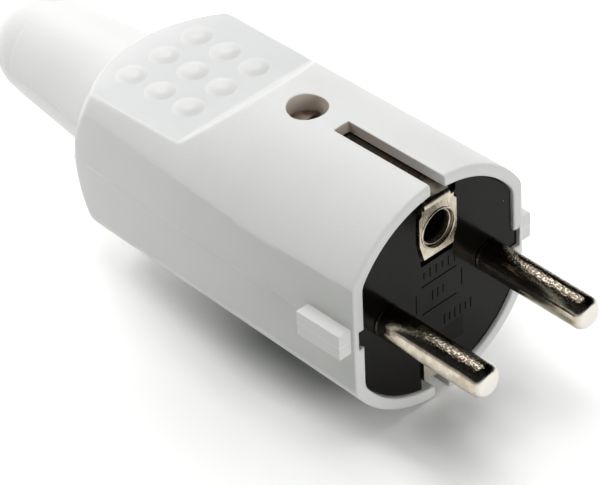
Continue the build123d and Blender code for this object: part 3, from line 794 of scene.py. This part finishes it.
def grip_bump_tree():
    """Low round bumps in rows and columns on a sloped flat, and the same on the side below."""
    tree = bpy.data.node_groups.new("grip_bumps", "GeometryNodeTree")
    for label, kind in (
        ("Count", "Int"), ("Pitch X", "Float"), ("Pitch Y", "Float"), ("Centre", "Vector"),
        ("Slope", "Float"), ("Radius", "Float"), ("Height", "Float"), ("Top Share", "Float"),
        ("Sink", "Float"), ("Size Drift", "Float"), ("Seed", "Int"), ("Material", "Material"),
    ):
        tree.interface.new_socket(label, in_out="INPUT", socket_type="NodeSocket" + kind)
    tree.interface.new_socket("Geometry", in_out="OUTPUT", socket_type="NodeSocketGeometry")
    given = tree.nodes.new("NodeGroupInput").outputs

    def times(first, second):
        return maths(tree, "MULTIPLY", first, second)

    gaps = maths(tree, "SUBTRACT", given["Count"], 1)
    grid = add_node(
        tree, "GeometryNodeMeshGrid",
        Size_X=times(gaps, given["Pitch X"]), Size_Y=times(gaps, given["Pitch Y"]),
        Vertices_X=given["Count"], Vertices_Y=given["Count"],
    )
    tilt = add_node(tree, "ShaderNodeCombineXYZ", X=times(given["Slope"], -1))
    laid = add_node(
        tree, "GeometryNodeTransform",
        Geometry=grid.outputs["Mesh"], Translation=given["Centre"], Rotation=tilt.outputs["Vector"],
    )

    # One bump: a ball whose upper half becomes a soft-footed swelling
    ball = add_node(tree, "GeometryNodeMeshUVSphere", Segments=48, Rings=32, Radius=1.0)
    spot = tree.nodes.new("GeometryNodeInputPosition").outputs["Position"]
    x, y, z = add_node(tree, "ShaderNodeSeparateXYZ", Vector=spot).outputs
    reach = maths(tree, "SQRT", maths(tree, "ADD", times(x, x), times(y, y)))
    swell = ramp(tree, reach, 1.0, given["Top Share"], smooth=True)
    top = times(maths(tree, "GREATER_THAN", z, -0.001), swell)
    under = times(maths(tree, "MINIMUM", z, 0.0), given["Height"])
    raised = maths(tree, "ADD", times(top, given["Height"]), under)
    shape = add_node(
        tree, "ShaderNodeCombineXYZ",
        X=times(x, given["Radius"]), Y=times(y, given["Radius"]),
        Z=maths(tree, "SUBTRACT", raised, given["Sink"]),
    )
    bump = add_node(
        tree, "GeometryNodeSetPosition",
        Geometry=ball.outputs["Mesh"], Position=shape.outputs["Vector"],
    )

    # The bumps above, and the same turned to the side below
    drift = tree.nodes.new("FunctionNodeRandomValue")
    drift.data_type = "FLOAT"
    put(tree, drift.inputs[2], maths(tree, "SUBTRACT", 1, given["Size Drift"]))
    put(tree, drift.inputs[3], maths(tree, "ADD", 1, given["Size Drift"]))
    put(tree, drift.inputs["Seed"], given["Seed"])
    above = add_node(
        tree, "GeometryNodeInstanceOnPoints",
        Points=laid.outputs["Geometry"], Instance=bump.outputs["Geometry"], Scale=drift.outputs[1],
    )
    below = add_node(
        tree, "GeometryNodeTransform",
        Geometry=above.outputs["Instances"], Rotation=(0, pi, 0),
    )
    both = tree.nodes.new("GeometryNodeJoinGeometry")
    put(tree, both.inputs[0], above.outputs["Instances"])
    put(tree, both.inputs[0], below.outputs["Geometry"])
    geometry = both.outputs["Geometry"]
    for kind in ("GeometryNodeRealizeInstances", "GeometryNodeSetShadeSmooth"):
        geometry = add_node(tree, kind, Geometry=geometry).outputs["Geometry"]
    painted = add_node(
        tree, "GeometryNodeSetMaterial", Geometry=geometry, Material=given["Material"]
    )
    add_node(tree, "NodeGroupOutput", Geometry=painted.outputs["Geometry"])
    return tree


def build_bumps():
    sink, foot = 0.03, 0.35
    centre_y = bump_first + bump_pitch_y
    centre_z = grip_height - grip_slope * (centre_y - grip_front)
    return grown_piece(
        "grip_bumps",
        grip_bump_tree(),
        {
            "Count": 3,
            "Pitch X": bump_pitch_x * MM,
            "Pitch Y": bump_pitch_y * MM,
            "Centre": (0.0, centre_y * MM, centre_z * MM),
            "Slope": grip_slope,
            "Radius": (bump_radius + foot) * MM,
            "Height": (bump_height + sink) * MM,
            "Top Share": 0.25,
            "Sink": sink * MM,
            "Size Drift": 0.02,
            "Seed": 4,
            "Material": rubber,
        },
    )


def build_tab(name, side):
    """A guide tab, with the step and the line of the mould halves across its outer face."""
    inner, out, high, step = flat_half_width - 0.6, tab_reach, tab_half_height, 0.05
    half = [(inner, -high), (out - 0.1, -high), (out - 0.1, -0.1), (out, -0.02), (out, 0.06)]
    half += [(out - step, 0.12), (out - step, high), (inner, high)]
    count = len(half)
    vertices = [(x * side, y, z) for y in (tab_front, tab_back) for x, z in half]
    faces = [list(range(count)), list(range(2 * count - 1, count - 1, -1))]
    faces += [[n, (n + 1) % count, count + (n + 1) % count, count + n] for n in range(count)]
    piece = mesh_piece(name, vertices, faces, rubber)
    bevel = piece.modifiers.new("bevel", "BEVEL")
    bevel.width = 0.28 * MM
    bevel.segments = 4
    bevel.limit_method = "ANGLE"
    bevel.angle_limit = radians(60)
    return weigh_normals(piece)


def turned_rings(profile, steps, centre_x, centre_z):
    """Vertices and faces of a closed profile of (radius, y) turned about a line along Y."""
    vertices, faces, count = [], [], len(profile)
    for n in range(steps):
        turn = 2 * pi * n / steps
        vertices += [(centre_x + r * sin(turn), y, centre_z + r * cos(turn)) for r, y in profile]
    for n in range(steps):
        m = (n + 1) % steps
        for k in range(count):
            j = (k + 1) % count
            faces.append([n * count + k, n * count + j, m * count + j, m * count + k])
    return vertices, faces


def build_pin(name, side):
    """A turned pin with a ground end, its neck through the insert, and its terminal block."""
    end, flat, shoulder, steps = -pin_reach, 1.2, 1.35, 12
    crown, groove = 0.02, pin_radius - 0.03
    profile = [(0.0, end), (flat * 0.6, end), (flat, end + crown)]
    for n in range(1, steps + 1):
        turn = pi / 2 * n / steps
        radius = flat + (pin_radius - flat) * sin(turn)
        profile.append((radius, end + crown + shoulder * (1 - cos(turn))))
    profile += [(pin_radius, y) for y in (-16.0, -14.0, -12.0, -10.0, -8.0, -6.0, -4.0, -2.0, -0.7)]
    profile += [(groove, -0.6), (groove, -0.42), (pin_radius, -0.34), (pin_radius, -0.08)]
    profile += [(pin_radius - 0.06, 0.0), (pin_neck_radius, 0.0)]
    profile += [(pin_neck_radius, pin_neck_end), (0.0, pin_neck_end)]
    vertices, faces = turned_rings(profile, 72, side * pin_x, 0.0)
    first, half = len(vertices), terminal_half_width
    for y in (pin_neck_end, terminal_back):
        for x, z in ((-half, -half), (half, -half), (half, half), (-half, half)):
            vertices.append((side * pin_x + x, y, z))
    faces += [[first + n for n in (0, 1, 2, 3)], [first + n for n in (7, 6, 5, 4)]]
    for n in range(4):
        m = (n + 1) % 4
        faces.append([first + n, first + 4 + n, first + 4 + m, first + m])
    piece = mesh_piece(name, vertices, faces, pin_plate, merge=0.0008)
    return weigh_normals(piece)


def build_roll(name, radius, y, thick, steps=14):
    """A rolled edge round the earth contact's mouth."""
    turns = [2 * pi * n / steps for n in range(steps)]
    profile = [(radius + thick * cos(turn), y + thick * sin(turn)) for turn in turns]
    vertices, faces = turned_rings(profile, 72, 0.0, earth_height)
    return mesh_piece(name, vertices, faces, strip_plate)


def build_raised_frame():
    """A plain frame with short plain bars above and below, raised a little from the black face."""
    bars, line, half_bar, slant = [], 0.13, 0.14, 0.05
    low_x, high_x, low_z, high_z = -3.95, 4.6, -3.2, 1.5
    short_share = 0.72
    bar_rows = (
        # first bar's x, number of bars, pitch, height of the middle, half length
        (-2.4, 6, 1.15, 3.25, 0.75),
        (-0.9, 3, 1.0, -0.9, 0.8),
        (1.2, 6, 1.0, -6.3, 0.8),
    )
    for z in (low_z, high_z):
        bars.append((low_x + 1.0, high_x - 1.0, z - line, z + line))
    for x in (low_x, high_x):
        bars.append((x - line, x + line, low_z + 0.9, high_z - 0.9))
    for row, (start, count, pitch, z, tall) in enumerate(bar_rows):
        for n in range(count):
            x = start + n * pitch
            reach = tall * (1.0 if (n + row) % 3 else short_share)
            bars.append((x - half_bar, x + half_bar, z - reach, z + reach))
    vertices, faces = [], []
    for x0, x1, z0, z1 in bars:
        first = len(vertices)
        for y, cut in ((0.1, 0.0), (-0.1, slant)):
            left, right, low, high = x0 + cut, x1 - cut, z0 + cut, z1 - cut
            vertices += [(left, y, low), (right, y, low), (right, y, high), (left, y, high)]
        faces += [[first + n for n in (3, 2, 1, 0)], [first + n for n in (4, 5, 6, 7)]]
        for n in range(4):
            m = (n + 1) % 4
            faces.append([first + n, first + m, first + 4 + m, first + 4 + n])
    piece = mesh_piece("plain_raised_frame", vertices, faces, black_plastic)
    piece.data.shade_flat()
    return piece


def build_corner_cover():
    """A sloped edge of the insert over the right upper corner of the lower strip's tab."""
    root_y, top_y, bottom = 0.05, -0.45, -13.4
    root = ((-0.8, -7.3), (4.5, -7.3), (4.5, bottom), (-0.8, bottom))
    top = ((1.2, -10.2), (4.2, -10.2), (4.2, bottom), (1.2, bottom))
    vertices = [(x, root_y, z) for x, z in root] + [(x, top_y, z) for x, z in top]
    faces = [(0, 1, 2, 3), (7, 6, 5, 4)]
    faces += [(n, (n + 1) % 4, 4 + (n + 1) % 4, 4 + n) for n in range(4)]
    piece = mesh_piece("insert_corner", vertices, faces, black_plastic)
    piece.data.shade_flat()
    return piece


for piece, slot in (
    (build_corner_cover(), "insert_plastic"),
    (build_bumps(), "shell_rubber"),
    (build_tab("guide_tab_left", -1), "shell_rubber"),
    (build_tab("guide_tab_right", 1), "shell_rubber"),
    (build_roll("plate_hole_roll", 3.0, -0.42, 0.15), "plated_brass"),
    (build_roll("sleeve_mouth_roll", 2.62, 0.12, 0.15), "plated_brass"),
    (build_raised_frame(), "insert_plastic"),
):
    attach(piece, "root")

for node, side in (("pin_left", -1), ("pin_right", 1)):
    pin = build_pin("turned_" + node, side)
    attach(pin, "root")
    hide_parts(node)

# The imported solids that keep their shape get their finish
finishes = {
    "contact_insert": black_plastic,
    "pin_retainer": black_plastic,
    "pin_left": pin_plate,
    "pin_right": pin_plate,
    "earth_strip_upper": strip_plate,
    "earth_strip_lower": strip_plate,
    "earth_socket_sleeve": sleeve_plate,
}
for name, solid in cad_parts.items():
    solid.data.materials.clear()
    solid.data.materials.append(finishes.get(name, screw_steel))


# Camera, floor and light


def set_camera():
    """The photograph's camera, from its solved direction, distance and focal length."""
    turn, rise, roll = radians(-42.483), radians(38.939), radians(-2.599)
    distance, focal_pixels = 684.084, 5156.445
    off_x_pixels, off_z_pixels = 137.595, 44.343
    image_width_pixels, sensor_width = 600, 36.0
    back = Vector((sin(turn) * cos(rise), -cos(turn) * cos(rise), sin(rise)))
    right = (-back).cross(Vector((0, 0, 1))).normalized()
    up = right.cross(-back)
    image_right = right * cos(roll) + up * sin(roll)
    image_up = up * cos(roll) - right * sin(roll)
    place = back * distance - image_right * off_x_pixels * distance / focal_pixels
    place += image_up * off_z_pixels * distance / focal_pixels
    data = bpy.data.cameras.new("camera")
    data.sensor_width = sensor_width
    data.lens = focal_pixels / image_width_pixels * sensor_width
    data.clip_start, data.clip_end = 0.05, 20.0
    camera = bpy.data.objects.new("camera", data)
    bpy.context.scene.collection.objects.link(camera)
    facing = Matrix((image_right, image_up, back)).transposed()
    camera.matrix_world = Matrix.Translation(place * MM) @ facing.to_4x4()
    bpy.context.scene.camera = camera


def add_light(name, place, aim, size, energy, mirrored):
    data = bpy.data.lights.new(name, "AREA")
    data.size = size
    data.energy = energy
    lamp = bpy.data.objects.new(name, data)
    bpy.context.scene.collection.objects.link(lamp)
    lamp.location = place
    lamp.visible_glossy = mirrored
    lamp.rotation_euler = (Vector(aim) - Vector(place)).to_track_quat("-Z", "Y").to_euler()


def mix_shader(tree, factor, first, second):
    node = tree.nodes.new("ShaderNodeMixShader")
    for socket, value in zip(node.inputs, (factor, first, second)):
        put(tree, socket, value)
    return node.outputs["Shader"]


def set_world():
    """White to the camera; in reflections a pale sweep under a dark room. It gives no light."""
    world = bpy.data.worlds.new("studio")
    bpy.context.scene.world = world
    world.use_nodes = True
    tree = world.node_tree
    tree.nodes.clear()
    way = tree.nodes.new("ShaderNodeTexCoord").outputs["Generated"]
    x, _, z = add_node(tree, "ShaderNodeSeparateXYZ", Vector=way).outputs
    sweep = ramp(tree, z, 0.1, 0.3, 0.68, 0.03, smooth=True)
    from_left = ramp(tree, x, -0.2, 0.3, 1.0, 0.05)
    dark = add_node(tree, "ShaderNodeBackground", Strength=0.0)
    pale = maths(tree, "MULTIPLY", sweep, from_left)
    room = add_node(tree, "ShaderNodeBackground", Strength=pale)
    white = tree.nodes.new("ShaderNodeBackground")
    paths = tree.nodes.new("ShaderNodeLightPath").outputs
    mirrored = mix_shader(tree, paths["Is Glossy Ray"], dark.outputs[0], room.outputs[0])
    seen = mix_shader(tree, paths["Is Camera Ray"], mirrored, white.outputs[0])
    add_node(tree, "ShaderNodeOutputWorld", Surface=seen)


def set_floor():
    """A pale floor, with a painted shadow close under the plug and painted light, an emission seen
    by camera and glossy rays, that lifts it to white away from it.
    """
    reach, under_plug = 3.0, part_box("body_shell")[0].z
    gap = 0.0001
    material, tree, shader = new_material("pale_floor", Roughness=0.6, Specular_IOR_Level=0.2)
    shader.inputs["Emission Color"].default_value = (1.0, 1.0, 0.985, 1)
    coords = object_place(tree)[0]

    def vector_maths(operation, first, second=None):
        node = tree.nodes.new("ShaderNodeVectorMath")
        node.operation = operation
        put(tree, node.inputs[0], first)
        if second is not None:
            put(tree, node.inputs[1], second)
        return node.outputs["Value" if operation in ("DISTANCE", "LENGTH") else "Vector"]

    # The painted light starts away from two places under the plug, and faster from the second
    distances = []
    for x, y, steepness in ((-0.011, 0.019, 1.0), (-0.002, -0.005, 3.0)):
        away = vector_maths("DISTANCE", coords, (x, y, under_plug))
        distances.append(maths(tree, "MULTIPLY", away, steepness))
    painted_light = ramp(tree, maths(tree, "MINIMUM", *distances), 0.006, 0.042, 0.0, 0.4)
    paths = tree.nodes.new("ShaderNodeLightPath").outputs
    seen = maths(tree, "MAXIMUM", paths["Is Camera Ray"], paths["Is Glossy Ray"])
    put(tree, shader.inputs["Emission Strength"], maths(tree, "MULTIPLY", seen, painted_light))

    # The painted shadow is a long soft patch along the plug
    off = vector_maths("SUBTRACT", coords, (-0.008, 0.02, under_plug))
    away = vector_maths("LENGTH", vector_maths("MULTIPLY", off, (1.0, 0.27, 1.0)))
    painted_shadow_colour, far_colour = (0.46, 0.47, 0.455), (0.93, 0.935, 0.925)
    tint = mix_colour(tree, ramp(tree, away, 0.001, 0.0095), painted_shadow_colour, far_colour)
    put(tree, shader.inputs["Base Color"], tint)

    mesh = bpy.data.meshes.new("floor")
    corners = ((-reach, -reach), (reach, -reach), (reach, reach), (-reach, reach))
    mesh.from_pydata([(x, y, under_plug - gap) for x, y in corners], [], [(0, 1, 2, 3)])
    mesh.materials.append(material)
    floor = bpy.data.objects.new("floor", mesh)
    bpy.context.scene.collection.objects.link(floor)


set_camera()
set_world()
set_floor()
plug_middle = (0, 0.02, 0)
for name, place, size, energy, mirrored in (
    ("top", (0, 0, 1.0), 0.5, 3.9, False),
    ("rear_high", (0.28, 0.57, 0.77), 0.52, 1.85, True),
    ("rear_right", (0.6, 0.5, 0.4), 0.5, 2.8, False),
    ("rear_left", (-0.32, 0.42, 0.36), 0.3, 0.5, False),
    ("tail", (-0.08, 0.19, 0.2), 0.08, 0.19, False),
    ("front", (0, -0.9, 0.2), 0.5, 3.6, False),
):
    add_light(name, place, plug_middle, size, energy, mirrored)
bpy.context.scene.view_settings.view_transform = "Standard"
